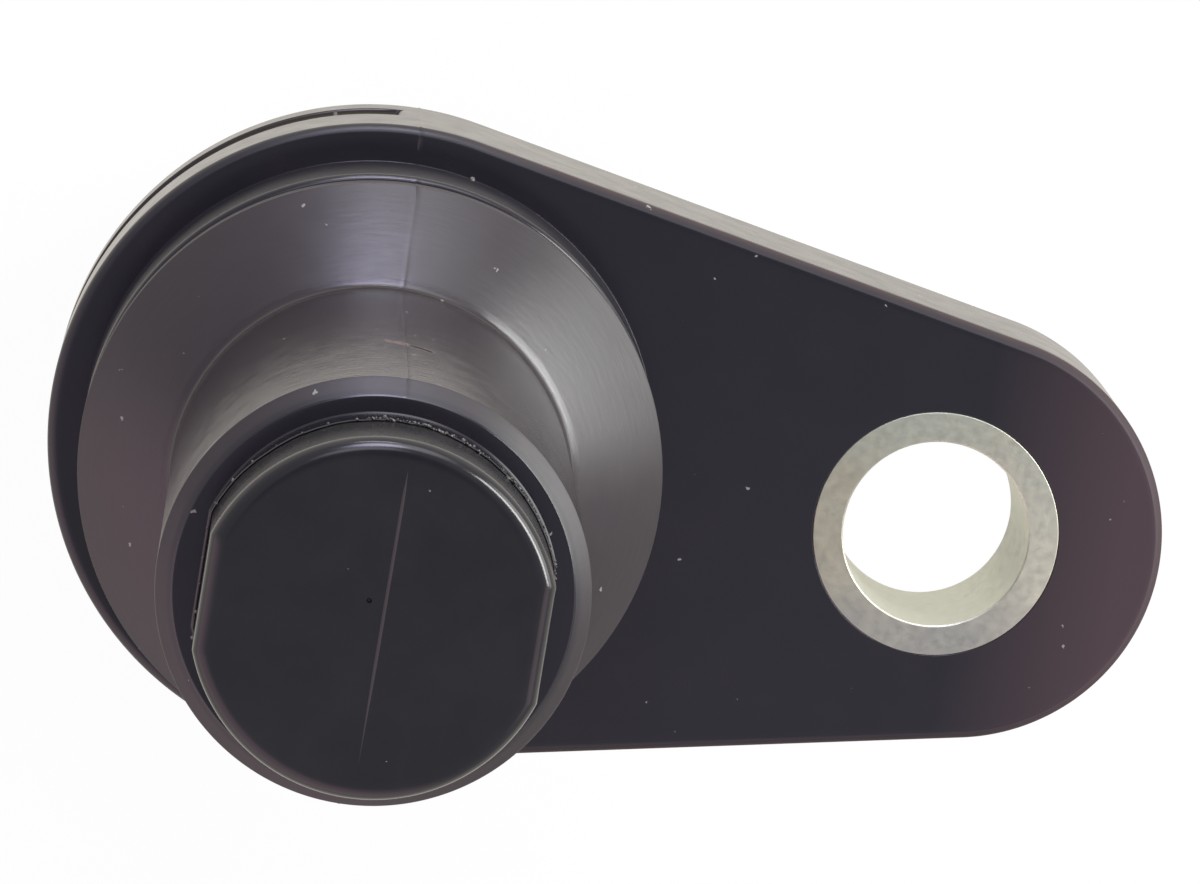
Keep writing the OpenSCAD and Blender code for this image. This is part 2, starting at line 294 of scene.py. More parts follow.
def round_outline(radius):
    """A circle with its points at the angles of the tip's outline."""
    return [Vector(point).normalized() * radius for point in tip_outline(0)]


def add_ring(bm, outline, z):
    """A ring of points at one height, or at a height for each point."""
    heights = z if isinstance(z, list) else [z] * len(outline)
    return [bm.verts.new(Vector((x, y, height)) * mm) for (x, y), height in zip(outline, heights)]


def skin(bm, rings):
    """Joins each ring to the next with four-sided faces."""
    for first, second in zip(rings, rings[1:]):
        for index in range(len(first)):
            bm.faces.new((first[index - 1], first[index], second[index], second[index - 1]))


def fill(bm, *loops):
    """Fills the flat area between an outer loop and the loops inside it."""
    edges = []
    for loop in loops:
        for index in range(len(loop)):
            pair = (loop[index - 1], loop[index])
            edges.append(bm.edges.get(pair) or bm.edges.new(pair))
    bmesh.ops.triangle_fill(bm, edges=edges, use_beauty=True)


def new_mesh(bm, name):
    """Ends the work on a mesh."""
    mesh = bpy.data.meshes.new(name)
    bm.to_mesh(mesh)
    bm.free()
    return mesh


def new_object(name, data):
    """Puts a mesh, a lamp or a camera into the scene."""
    thing = bpy.data.objects.new(name, data)
    bpy.context.scene.collection.objects.link(thing)
    return thing


def shade(mesh):
    """Gives a mesh smooth rounds and sharp corners."""
    mesh.shade_smooth()
    mesh.set_sharp_from_angle(angle=sharp_turn)


def add_piece(bm, name, finish):
    """Turns a closed mesh into a piece."""
    bmesh.ops.remove_doubles(bm, verts=bm.verts, dist=merge_gap * mm)
    bmesh.ops.recalc_face_normals(bm, faces=bm.faces)
    mesh = new_mesh(bm, name)
    shade(mesh)
    mesh.materials.append(finish)
    return new_object(name, mesh)


def rounded(corners, support=0.1, steps=6):
    """A section through corners (across, along, radius), each rounded between two support points."""
    points = []
    for index, (across, along, radius) in enumerate(corners):
        corner = Vector((across, along))
        if radius == 0:
            points.append(corner)
            continue
        to_last = (Vector(corners[index - 1][:2]) - corner).normalized()
        to_next = (Vector(corners[(index + 1) % len(corners)][:2]) - corner).normalized()
        half = to_last.angle(to_next) / 2
        reach = radius / math.tan(half)
        centre = corner + (to_last + to_next).normalized() * radius / math.sin(half)
        first = corner + to_last * reach - centre
        last = corner + to_next * reach - centre
        points.append(corner + to_last * (reach + support))
        points.extend(centre + first.slerp(last, step / steps) * radius for step in range(steps + 1))
        points.append(corner + to_next * (reach + support))
    return points


def ribbed_foot(bm, gap):
    """The rings of the carrier's foot with its locking ribs, moved outwards by a gap."""
    narrow = tip_outline(-gap)
    wide = round_outline(lock_rib_r + gap)
    rings = [add_ring(bm, narrow, carrier_low.z - gap)]
    for rib in range(1, lock_ribs + 1):
        rib_z = carrier_low.z + rib * lock_rib_pitch
        low, high = rib_z - gap, rib_z + lock_rib_w + gap
        rings += [add_ring(bm, narrow, low), add_ring(bm, wide, low)]
        rings += [add_ring(bm, wide, high), add_ring(bm, narrow, high)]
    return rings


def mould_line_on_tip(bm):
    """The low ridge on the tip's face, as the loop round its foot."""
    left, right, crest = [], [], []
    for station in range(1, mould_line_stations):
        share = station / mould_line_stations
        swell = min(1, mould_line_rise * share, mould_line_fade * (1 - share))
        y = mould_line_top_y + (mould_line_end_y - mould_line_top_y) * share
        x = mould_line_x + mould_line_lean * (0.5 - share)
        half_w = swell * mould_line_w / 2
        left.append(bm.verts.new(Vector((x - half_w, y, tip_z)) * mm))
        right.append(bm.verts.new(Vector((x + half_w, y, tip_z)) * mm))
        crest.append(bm.verts.new(Vector((x, y, tip_z + swell * mould_line_h)) * mm))
    top = bm.verts.new(Vector((mould_line_x + mould_line_lean / 2, mould_line_top_y, tip_z)) * mm)
    end = bm.verts.new(Vector((mould_line_x - mould_line_lean / 2, mould_line_end_y, tip_z)) * mm)
    spine = [top, *crest, end]
    for foot in ([top, *left, end], [top, *right, end]):
        for index in range(1, len(foot)):
            corners = dict.fromkeys((foot[index - 1], foot[index], spine[index], spine[index - 1]))
            bm.faces.new(list(corners))
    return [top, *left, end, *reversed(right)]


def pit_on_tip(bm):
    """The small round pit beside the mould line, as the loop round its mouth."""
    turns = [2 * math.pi * side / pit_sides for side in range(pit_sides)]

    def pit_ring(radius, depth):
        points = [(pit_place[0] + radius * math.cos(turn), pit_place[1] + radius * math.sin(turn))
                  for turn in turns]
        return add_ring(bm, points, tip_z - depth)

    rings = [pit_ring(pit_r * across, pit_depth * down) for across, down in pit_shape]
    skin(bm, rings)
    bm.faces.new(rings[-1])
    return rings[0]


def new_effect(name, inputs, outputs):
    """Starts a shared effect, and returns its tree with its input and output nodes."""
    group = bpy.data.node_groups.new(name, "ShaderNodeTree")
    for label, value in inputs.items():
        socket = group.interface.new_socket(label, in_out="INPUT", socket_type="NodeSocketFloat")
        socket.default_value = value
    for label in outputs:
        group.interface.new_socket(label, in_out="OUTPUT", socket_type="NodeSocketFloat")
    return group, group.nodes.new("NodeGroupInput"), group.nodes.new("NodeGroupOutput")


def math_of(tree, operation, *values):
    """One sum on values or sockets."""
    return add_node(tree, "ShaderNodeMath", dict(enumerate(values)), operation=operation).outputs[0]


# Dust that clings to the plastic: a speck in some of the cells, each of its own size.
dust, dust_in, dust_out = new_effect("dust_specks", {"Scale": 1.0, "Share": 0.1, "Size": 0.1}, ["Mask"])
dust_place = place_in_mm(dust)
wobble = add_node(dust, "ShaderNodeTexNoise", {
    "Vector": dust_place, "Scale": dust_wobble_waves, "Detail": 2.0})
bent_place = add_node(dust, "ShaderNodeVectorMath", {
    0: wobble.outputs["Color"], 1: [dust_wobble] * 3, 2: dust_place}, operation="MULTIPLY_ADD")
cells = add_node(dust, "ShaderNodeTexVoronoi", {
    "Vector": bent_place.outputs["Vector"], "Scale": dust_in.outputs["Scale"]})
cell_luck = add_node(dust, "ShaderNodeSeparateColor", {"Color": cells.outputs["Color"]})
speck_size = math_of(dust, "MULTIPLY", cell_luck.outputs["Green"], dust_in.outputs["Size"])
has_speck = math_of(dust, "LESS_THAN", cell_luck.outputs["Red"], dust_in.outputs["Share"])
in_speck = math_of(dust, "LESS_THAN", cells.outputs["Distance"], speck_size)
dust.links.new(math_of(dust, "MULTIPLY", has_speck, in_speck), dust_out.inputs["Mask"])

# The moulded skin of the plastic: a fine grain in its height, and a broad clouding of its colour.
grain, grain_in, grain_out = new_effect("moulded_skin", {"Grain": 9.0, "Cloud": 0.3}, ["Height", "Cloud"])
grain_place = place_in_mm(grain)
grain.links.new(speckle(grain, grain_place, grain_in.outputs["Grain"], 4), grain_out.inputs["Height"])
grain.links.new(speckle(grain, grain_place, grain_in.outputs["Cloud"], 5), grain_out.inputs["Cloud"])


def axes_of(tree, vector):
    """The parts of a vector."""
    return add_node(tree, "ShaderNodeSeparateXYZ", {"Vector": vector}).outputs


def add_effect(tree, group, **values):
    """Places a shared effect in a material, with its own values."""
    return add_node(tree, "ShaderNodeGroup", values, node_tree=group)


tip_plastic, tree, shader = new_finish("tip_plastic")
skin_effect = add_effect(tree, grain, Grain=7.0, Cloud=0.55)
dust_effect = add_effect(tree, dust, Scale=0.9, Share=0.2, Size=0.05)
bloom = spread(tree, skin_effect.outputs["Cloud"], *tip_bloom_span, 0.0, tip_bloom_most)
bloomed = mixed(tree, bloom, tip_colour, tip_bloom_colour)
polish = spread(tree, skin_effect.outputs["Cloud"], *noise_span, *tip_roughness)
height = axes_of(tree, place_in_mm(tree))["Z"]
tip_wall_top_z = tip_z - tip_edge_r
on_wall = spread(tree, height, tip_wall_top_z - tip_wall_fade, tip_wall_top_z, 1.0, 0.0)
use(
    tree, shader,
    Base_Color=mixed(tree, dust_effect.outputs["Mask"], bloomed, dust_colour),
    Roughness=math_of(tree, "MULTIPLY_ADD", on_wall, tip_wall_dulling, polish),
    Normal=raised(tree, skin_effect.outputs["Height"], skin_grain_h),
)

bm = bmesh.new()
rings = ribbed_foot(bm, 0)
tip_section = rounded([
    (0, tip_z - tip_wall_h, 0), (0, tip_z, tip_edge_r), (tip_face_inset, tip_z, 0)], steps=tip_edge_steps)
rings += [add_ring(bm, tip_outline(inset), z) for inset, z in tip_section]
skin(bm, rings)
fill(bm, rings[0])
fill(bm, rings[-1], mould_line_on_tip(bm), pit_on_tip(bm))
carrier = add_piece(bm, "carrier_moulding", tip_plastic)
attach(carrier, "root")
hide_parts("sensor_carrier")


# Bolt bushing
# A turned steel sleeve with a thin passivated zinc plating, moulded into the ear of the flange.
# It takes the load of the bolt, so its ends lie flush with both faces of the plastic.
bushing_low, bushing_high = (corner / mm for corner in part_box("bolt_bushing"))
bolt_x = (bushing_low.x + bushing_high.x) / 2
bushing_r = (bushing_high.x - bushing_low.x) / 2
bushing_edge_r = 0.04
bushing_support = 0.01
bushing_sides = 160
bore_r = 3.25
bore_chamfer = 0.05
bore_mouth_r = bore_r + bore_chamfer
bore_edge_r = 0.02
# The beige and the lilac are the plating darkened by painted shade on the left and at the bottom. The cream
# is the plating lightened by painted light on the right, and the green is a tint of the plating.
beige_shaded_zinc_colour = (0.48, 0.47, 0.36, 1)
cream_lit_zinc_colour = (0.66, 0.66, 0.53, 1)
green_zinc_colour = (0.46, 0.52, 0.43, 1)
lilac_shaded_zinc_colour = (0.40, 0.42, 0.38, 1)
bore_zinc_colour = (0.68, 0.70, 0.60, 1)
tint_drift_waves = 0.35
tint_drift = (-1.5, 1.5)
lit_cream_span = (-4.0, 4.5)
green_span = (1.0, 4.5)
shaded_lilac_span = (-4.5, -1.0)
side_tint_and_shade_most = 0.8
bore_tint_w = 0.06
zinc_patches = (3, 0.42, 0.56)
turning_waves = 9
turning_h = 0.003


def joined(tree, **axes):
    """A vector from its parts."""
    return add_node(tree, "ShaderNodeCombineXYZ", axes).outputs["Vector"]


def length_of(tree, vector):
    """The length of a vector."""
    return add_node(tree, "ShaderNodeVectorMath", {0: vector}, operation="LENGTH").outputs["Value"]


zinc, tree, shader = new_finish("zinc_plating")
place = place_in_mm(tree)
from_axis = add_node(tree, "ShaderNodeVectorMath", {0: place, 1: (bolt_x, 0, 0)}, operation="SUBTRACT")
from_axis = axes_of(tree, from_axis.outputs["Vector"])
axis_distance = length_of(tree, joined(tree, X=from_axis["X"], Y=from_axis["Y"]))
turning = speckle(tree, joined(tree, X=axis_distance, Z=from_axis["Z"]), turning_waves, 2)
# Painted light and shade by side over the plating's own tints: darker beige on the left to lighter cream on
# the right, greenish at the top, and a dull, darker lilac at the bottom from painted shade. The bore is
# paler.
drift = spread(tree, speckle(tree, place, tint_drift_waves), *noise_span, *tint_drift)
across = math_of(tree, "ADD", from_axis["X"], drift)
along = math_of(tree, "ADD", from_axis["Y"], drift)
in_bore = spread(tree, axis_distance, bore_r, bore_r + bore_tint_w, 1.0, 0.0)
tint_and_shade = mixed(tree, spread(tree, across, *lit_cream_span), beige_shaded_zinc_colour, cream_lit_zinc_colour)
tint_and_shade = mixed(tree, spread(tree, along, *green_span, 0.0, side_tint_and_shade_most), tint_and_shade, green_zinc_colour)
tint_and_shade = mixed(tree, spread(tree, along, *shaded_lilac_span, side_tint_and_shade_most, 0.0), tint_and_shade, lilac_shaded_zinc_colour)
tint_and_shade = mixed(tree, in_bore, tint_and_shade, bore_zinc_colour)
shader.inputs["Metallic"].default_value = 1.0
use(
    tree, shader,
    Base_Color=tint_and_shade,
    Roughness=patchy(tree, place, *zinc_patches),
    Normal=raised(tree, turning, turning_h),
)


def bolt_ring(bm, radius, z):
    """A ring of points round the axis of the bolt."""
    turns = [2 * math.pi * side / bushing_sides for side in range(bushing_sides)]
    points = [(bolt_x + radius * math.cos(turn), radius * math.sin(turn)) for turn in turns]
    return add_ring(bm, points, z)


bm = bmesh.new()
bushing_section = rounded([
    (bushing_r, bushing_low.z, bushing_edge_r), (bushing_r, bushing_high.z, bushing_edge_r),
    (bore_mouth_r, bushing_high.z, bore_edge_r), (bore_r, bushing_high.z - bore_chamfer, bore_edge_r),
    (bore_r, bushing_low.z + bore_chamfer, bore_edge_r), (bore_mouth_r, bushing_low.z, bore_edge_r),
], support=bushing_support)
rings = [bolt_ring(bm, radius, z) for radius, z in bushing_section]
skin(bm, rings + rings[:1])
bushing = add_piece(bm, "bushing_sleeve", zinc)
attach(bushing, "root")
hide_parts("bolt_bushing")


# Housing
# One moulding of black glass-filled plastic, shot round the carrier, the strips and the bushing: the
# flange, the stepped barrel and the connector, with mould lines and a film of flash round the tip.
housing_low, housing_high = (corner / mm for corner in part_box("housing"))
flange_back_z = bushing_low.z
flange_end_r = housing_high.y
ear_end_r = 7.2
ear_x = housing_high.x - ear_end_r
flange_edge_r = 0.35
flange_support = 0.4
big_end_steps = 160
ear_steps = 120
straight_steps = 40
rim_line_h = 0.025
rim_line_turns = (90, 270)
rim_line_half_turn = 0.35
rim_groove_depth = 0.9
rim_groove_top_z = -3.35
rim_groove_low_z = -5.0
rim_groove_draft = 0.02
rim_groove_turn = 95.4
rim_groove_fade = 5.0
rim_groove_fade_steps = 8
rim_groove_edge_r = 0.09
rim_groove_support = 0.03
rim_groove_margin = 0.28
rim_wall_margin = 0.4
pilot_r = 9.9
collar_top_z = 3.8
collar_edge_r = 0.25
collar_foot_r = 0.02
seal_groove_r = 8.6
seal_groove_corner_r = 0.1
lip_z = 5.5
lip_edge_r = 0.06
lip_crest_r = 0.03
cone_low_z = 6.2
cone_top_z = 8.85
cone_crown = 0.055
cone_foot_w = 0.42
cone_foot_slope = 33.0
cone_foot_r = 1.0
cone_steps = 6
neck_r = 6.7
neck_foot_r = 0.3
shoulder_z = 29.3
shoulder_edge_r = 0.05
shoulder_support = 0.15
bevel_w = 0.55
bevel_h = 0.48
bevel_edge_r = 0.06
barrel_support = 0.06
barrel_step = 0.8
barrel_line_h = 0.025
barrel_line_share = 0.6
barrel_line_waves = 1.1
barrel_line_margin = 0.05
barrel_line_reach = 0.001
seat_gap = 0.01
film_w = 0.06
film_z = 30.35
film_least = 0.3
film_lean = 5
film_crest = 0.02
film_drop = 0.03
film_foot = 0.05
film_rag = 0.16
film_rag_waves = 2.3
fine_rag_waves = 7
fine_rag_slice = 5
fine_rag_share = 0.5
hole_edge_r = 0.03
hole_support = 0.3
shroud_r = 6.5
shroud_half_flat = 3.5
shroud_wall = 1.6
shroud_edge_r = 0.3
shroud_end_steps = 72
shroud_flat_steps = 14
socket_floor_z = -13.7
socket_floor_support = 1
plinth_proud = 1.0
plinth_z = -9.2
plinth_root = 1.5
plinth_edge_r = 0.25
plinth_foot_r = 0.2
latch_half_w = 2.5
latch_y = -8.0
latch_rise = 2.5
latch_edge_r = 0.15
ramp_h = 3.2
land_h = 0.8
rail_half_w = 0.6
rail_gap = 1.4
rail_root = 1
navy_colour = (0.0118, 0.0110, 0.0150, 1)
warm_colour = (0.0270, 0.0222, 0.0243, 1)
ear_colour = (0.0520, 0.0360, 0.0400, 1)
rim_colour = (0.0155, 0.0135, 0.0140, 1)
worn_edge_colour = (0.034, 0.020, 0.020, 1)
groove_ledge_colour = (0.075, 0.064, 0.052, 1)
scuff_colour = (0.13, 0.065, 0.052, 1)
fleck_colour = (0.004, 0.004, 0.004, 1)
ledge_reach = (flange_end_r - 0.2, flange_end_r - 0.06)
cloud_span = (0.40, 0.64)
cloud_most = 0.12
barrel_warmth = 0.8
ear_span = (21.0, 26.5)
worn_top_span = (-0.05, 0)
worn_low_span = (-0.8, -0.3)
worn_tint_span = (-0.2, -0.02)
worn_x_span = (0, 5)
streak_turn_waves = 9.0
streak_depth_waves = 6.0
streak_axis_waves = 6.0
streak_span = (0.35, 0.7)
streak_dulling = 0.02
streak_relief = 1.5
rim_grain = 0.3
smudge_waves = 0.9
smudge_span = (0.35, 0.68)
neck_roughness = (0.14, 0.19)
scuff_slope = -0.6
scuff_stretch = (1.6, 1.0, 1.0)
scuff_waves = 1.5
scuff_grain_span = (0.44, 0.56)
scuff_front = (5, 6)
# Each of these zones has its lower limit, its upper limit and the width of its soft ends.
ledge_zone = (rim_groove_low_z - 0.06, rim_groove_low_z + 0.08, 0.04)
scuff_x_zone = (-0.6, 0.85, 0.15)
scuff_z_zone = (21.35, 21.65, 0.2)
fleck_x_zone = (0.15, 0.8, 0.1)
fleck_z_zone = (21.35, 21.65, 0.1)


def way_at(turn):
    """The way outwards at a turn in degrees."""
    return Vector((math.cos(math.radians(turn)), math.sin(math.radians(turn))))


def flange_columns():
    """Places round the rim, counterclockwise, each with its outward way, and its turn on the big end."""
    taper = math.degrees(math.asin((flange_end_r - ear_end_r) / ear_x))
    start, end = 90 - taper, 270 + taper
    turns = {start + (end - start) * step / big_end_steps for step in range(big_end_steps + 1)}
    for middle in rim_line_turns:
        turns |= {middle - rim_line_half_turn, middle, middle + rim_line_half_turn}
    for groove_end in (rim_groove_turn, 360 - rim_groove_turn):
        for step in range(rim_groove_fade_steps + 1):
            turns.add(groove_end + rim_groove_fade * (step / rim_groove_fade_steps - 0.5))
    columns = []

    def add_straight(first, last, way):
        for step in range(1, straight_steps):
            columns.append((first.lerp(last, step / straight_steps), way, None))

    for turn in sorted(turns):
        columns.append((way_at(turn) * flange_end_r, way_at(turn), turn))
    low_way = way_at(end)
    high_way = Vector((low_way.x, -low_way.y))
    ear_centre = Vector((ear_x, 0))
    add_straight(low_way * flange_end_r, ear_centre + low_way * ear_end_r, low_way)
    for step in range(ear_steps + 1):
        way = way_at(-start + 2 * start * step / ear_steps)
        columns.append((ear_centre + way * ear_end_r, way, None))
    add_straight(ear_centre + high_way * ear_end_r, high_way * flange_end_r, high_way)
    return columns


def rim_ring(bm, columns, inset, z, groove):
    """One ring of the rim: inset everywhere, and cut deeper where the rim groove runs."""
    outline, heights = [], []
    for base, way, turn in columns:
        share = 0
        low = 0 if turn in rim_line_turns else rim_line_h
        if turn is not None:
            inside = min(turn - rim_groove_turn, 360 - rim_groove_turn - turn)
            share = min(1, max(0, 0.5 + inside / rim_groove_fade))
            share = share * share * (3 - 2 * share)
        outline.append(base - way * (inset + groove * share + low))
        heights.append(z + rim_line_h - low if z == 0 else z)
    return add_ring(bm, outline, heights)


def barrel_ring(bm, radius, z):
    """One ring of the barrel, with the mould lines standing out on both sides."""
    outline, heights = [], []
    for point in round_outline(radius):
        line_h = 0
        if abs(point.x) < barrel_line_reach and z < shoulder_z - barrel_line_margin:
            waver = noise.noise(Vector((point.y, 0, barrel_line_waves * z)))
            line_h = barrel_line_h * (barrel_line_share + waver)
        outline.append(point * (1 + line_h / radius))
        heights.append(z + line_h / 2 if z < barrel_line_margin else z)
    return add_ring(bm, outline, heights)


def cone_corners():
    """The cone from the neck out to the lip: a flatter foot at the neck, then a slight crown."""
    slope = math.radians(cone_foot_slope)
    inner = Vector((neck_r, cone_top_z)) + Vector((math.cos(slope), -math.sin(slope))) * cone_foot_w
    outer = Vector((pilot_r, cone_low_z))
    out_way = (outer - inner).orthogonal().normalized()
    corners = [(neck_r, cone_top_z, neck_foot_r), (*inner, cone_foot_r)]
    for step in range(1, cone_steps):
        share = step / cone_steps
        crown = out_way * 4 * cone_crown * share * (1 - share)
        corners.append((*(inner.lerp(outer, share) + crown), 0))
    return [*corners, (*outer, lip_crest_r)]


def divided(points, step):
    """Adds points along the long stretches of a section."""
    result = points[:1]
    for first, last in zip(points, points[1:]):
        count = max(1, round((last - first).length / step))
        result += [first.lerp(last, index / count) for index in range(1, count + 1)]
    return result


def film_edge_z(x, y):
    """The height of the film's ragged edge, which is lower on the left and at the bottom."""
    rag = noise.noise(Vector((film_rag_waves * x, film_rag_waves * y, 0)))
    fine_rag = noise.noise(Vector((fine_rag_waves * x, fine_rag_waves * y, fine_rag_slice)))
    share = min(1, max(film_least, (x + y + film_lean) / film_lean))
    return shoulder_z + (film_z - shoulder_z + film_rag * (rag + fine_rag_share * fine_rag)) * share


def seat_rings(bm):
    """The hole that the carrier sits in, from its floor up to the ragged edge of the film."""
    seat = tip_outline(-seat_gap)
    rings = ribbed_foot(bm, seat_gap)
    film_edge = [film_edge_z(x, y) for x, y in seat]
    film_out = tip_outline(-seat_gap - film_w)
    rings.append(add_ring(bm, seat, film_edge))
    rings.append(add_ring(bm, tip_outline(-seat_gap - film_w / 2), [z + film_crest for z in film_edge]))
    rings.append(add_ring(bm, film_out, [z - film_drop for z in film_edge]))
    rings.append(add_ring(bm, film_out, shoulder_z + film_foot))
    rings.append(add_ring(bm, tip_outline(-seat_gap - film_w - film_foot), shoulder_z))
    return rings


def flange_and_barrel():
    """The flange with its rim groove and bolt hole, and the barrel with the carrier's seat."""
    bm = bmesh.new()
    rings = seat_rings(bm)
    bevel_r = neck_r - bevel_w
    barrel_section = rounded([
        (bevel_r - shoulder_support, shoulder_z, 0), (bevel_r, shoulder_z, shoulder_edge_r),
        (neck_r, shoulder_z - bevel_h, bevel_edge_r), *cone_corners(),
        (pilot_r, lip_z, lip_edge_r), (seal_groove_r, lip_z, seal_groove_corner_r),
        (seal_groove_r, collar_top_z, seal_groove_corner_r), (pilot_r, collar_top_z, collar_edge_r),
        (pilot_r, 0, collar_foot_r), (pilot_r + flange_support, 0, 0),
    ], support=barrel_support)
    rings += [barrel_ring(bm, radius, z) for radius, z in divided(barrel_section, barrel_step)]
    skin(bm, rings)
    fill(bm, rings[0])
    foot = rings[-1]

    columns = flange_columns()
    edge_top = rounded([
        (flange_edge_r + flange_support, 0, 0), (0, 0, flange_edge_r),
        (0, rim_groove_top_z + rim_wall_margin, 0)])
    groove = rounded([
        (0, rim_groove_top_z + rim_groove_margin, 0),
        (0, rim_groove_top_z + rim_groove_draft, rim_groove_edge_r),
        (rim_groove_depth, rim_groove_top_z - rim_groove_draft, rim_groove_edge_r),
        (rim_groove_depth, rim_groove_low_z + rim_groove_draft, rim_groove_edge_r),
        (0, rim_groove_low_z - rim_groove_draft, rim_groove_edge_r),
        (0, rim_groove_low_z - rim_groove_margin, 0),
    ], support=rim_groove_support)
    edge_low = rounded([
        (0, rim_groove_low_z - rim_wall_margin, 0), (0, flange_back_z, flange_edge_r),
        (flange_edge_r + flange_support, flange_back_z, 0)])
    rim = [rim_ring(bm, columns, inset, z, 0) for inset, z in edge_top]
    rim += [rim_ring(bm, columns, 0, z, depth) for depth, z in groove]
    rim += [rim_ring(bm, columns, inset, z, 0) for inset, z in edge_low]
    skin(bm, rim)

    hole_r = bushing_r + seat_gap
    hole_section = rounded([
        (bushing_r + hole_support, 0, 0), (hole_r, 0, hole_edge_r),
        (hole_r, flange_back_z, hole_edge_r), (bushing_r + hole_support, flange_back_z, 0),
    ], support=hole_edge_r)
    hole = [bolt_ring(bm, radius, z) for radius, z in hole_section]
    skin(bm, hole)
    fill(bm, rim[0], foot, hole[0])
    fill(bm, rim[-1], hole[-1])
    return add_piece(bm, "housing_moulding", moulding)


def stadium(offset):
    """The connector's outline, moved outwards: a flat bar with round ends."""
    end_r = shroud_r + offset
    points = []
    for side in (1, -1):
        for step in range(shroud_end_steps + 1):
            turn = math.pi * (step / shroud_end_steps - 0.5)
            x = shroud_half_flat + end_r * math.cos(turn)
            points.append((side * x, side * end_r * math.sin(turn)))
        for step in range(1, shroud_flat_steps):
            along = shroud_half_flat * (1 - 2 * step / shroud_flat_steps)
            points.append((side * along, side * end_r))
    return points


def connector():
    """The plinth and the shroud round the socket, with a root inside the flange."""
    bm = bmesh.new()
    mouth_z = housing_low.z
    section = rounded([
        (plinth_proud, flange_back_z + plinth_root, 0), (plinth_proud, plinth_z, plinth_edge_r),
        (0, plinth_z, plinth_foot_r), (0, mouth_z, shroud_edge_r),
        (-shroud_wall, mouth_z, shroud_edge_r), (-shroud_wall, socket_floor_z, shroud_edge_r),
        (-shroud_wall - socket_floor_support, socket_floor_z, 0)])
    rings = [add_ring(bm, stadium(offset), z) for offset, z in section]
    skin(bm, rings)
    fill(bm, rings[0])
    fill(bm, rings[-1])
    return add_piece(bm, "connector_form", moulding)


def prism(name, half_w, centre_x, outline):
    """A bar across X with the given outline in Y and Z, and rounded edges."""
    bm = bmesh.new()
    ends = []
    for x in (centre_x - half_w, centre_x + half_w):
        ends.append([bm.verts.new(Vector((x, y, z)) * mm) for y, z in outline])
    skin(bm, ends)
    bm.faces.new(ends[0])
    bm.faces.new(ends[1])
    bmesh.ops.bevel(
        bm, geom=bm.edges[:], offset=latch_edge_r * mm, segments=3, profile=0.5, affect="EDGES")
    return add_piece(bm, name, moulding)


def latch_pieces():
    """The ramp that the plug's latch drops behind, between its two rails."""
    shroud_y = -shroud_r
    root_y = shroud_y + shroud_wall / 2
    foot_z = housing_low.z + latch_rise
    ramp_z = foot_z + ramp_h
    land_z = ramp_z + land_h
    rail_top_z = flange_back_z + rail_root
    rail_x = latch_half_w + rail_gap
    ramp = prism("latch_ramp", latch_half_w, 0, [
        (root_y, foot_z), (shroud_y, foot_z), (latch_y, ramp_z), (latch_y, land_z), (root_y, land_z)])
    rail = [(root_y, foot_z), (latch_y, foot_z), (latch_y, rail_top_z), (root_y, rail_top_z)]
    rails = [prism("latch_rail", rail_half_w, side * rail_x, rail) for side in (-1, 1)]
    return [ramp, *rails]


def apply_modifiers(piece):
    """Makes the result of a piece's modifiers its plain mesh."""
    evaluated = piece.evaluated_get(bpy.context.evaluated_depsgraph_get())
    mesh = bpy.data.meshes.new_from_object(evaluated)
    piece.modifiers.clear()
    piece.data = mesh


def unite(main, others):
    """Joins other closed forms to the main one, which takes the new mesh."""
    for other in others:
        join = main.modifiers.new("join", "BOOLEAN")
        join.operation = "UNION"
        join.solver = "EXACT"
        join.object = other
    apply_modifiers(main)
    for other in others:
        bpy.data.objects.remove(other)
    shade(main.data)


def both(tree, first, second):
    """The share that two masks have in common."""
    return math_of(tree, "MULTIPLY", first, second)


def within(tree, value, low, high, soft):
    """1 between two limits, falling to 0 over a soft end beyond each."""
    risen = spread(tree, value, low - soft, low)
    return both(tree, risen, spread(tree, value, high, high + soft, 1.0, 0.0))


moulding, tree, shader = new_finish("black_moulding")
place = place_in_mm(tree)
axes = axes_of(tree, place)
flat_place = joined(tree, X=axes["X"], Y=axes["Y"])
way_round = add_node(tree, "ShaderNodeVectorMath", {0: flat_place}, operation="NORMALIZE").outputs["Vector"]
way_round = axes_of(tree, way_round)
axis_distance = length_of(tree, flat_place)
skin_effect = add_effect(tree, grain, Grain=6.0, Cloud=0.28)
dust_effect = add_effect(tree, dust, Scale=1.0, Share=0.55, Size=0.085)

on_barrel = within(tree, axes["Z"], lip_z + 0.1, shoulder_z - 0.2, 0.1)
on_bevel = within(tree, axes["Z"], shoulder_z - 0.46, shoulder_z - 0.06, 0.03)
on_collar = within(tree, axes["Z"], 0.1, collar_top_z - 0.35, 0.1)
on_lip = within(tree, axes["Z"], lip_z, cone_low_z - 0.06, 0.03)
on_cone = within(tree, axes["Z"], lip_z + 0.1, cone_top_z - 0.24, 0.2)
on_edge = within(tree, axes["Z"], -flange_edge_r, -0.02, 0.01)
on_rim = within(tree, axes["Z"], flange_back_z + 0.2, -0.5, 0.2)
on_ledge = both(
    tree, within(tree, axes["Z"], *ledge_zone), spread(tree, axis_distance, *ledge_reach, 1.0, 0.0))
on_worn_edge = both(
    tree, spread(tree, axes["Z"], *worn_top_span, 1.0, 0.0), spread(tree, axes["Z"], *worn_low_span))
on_worn_edge = both(tree, on_worn_edge, spread(tree, axes["X"], *worn_x_span))

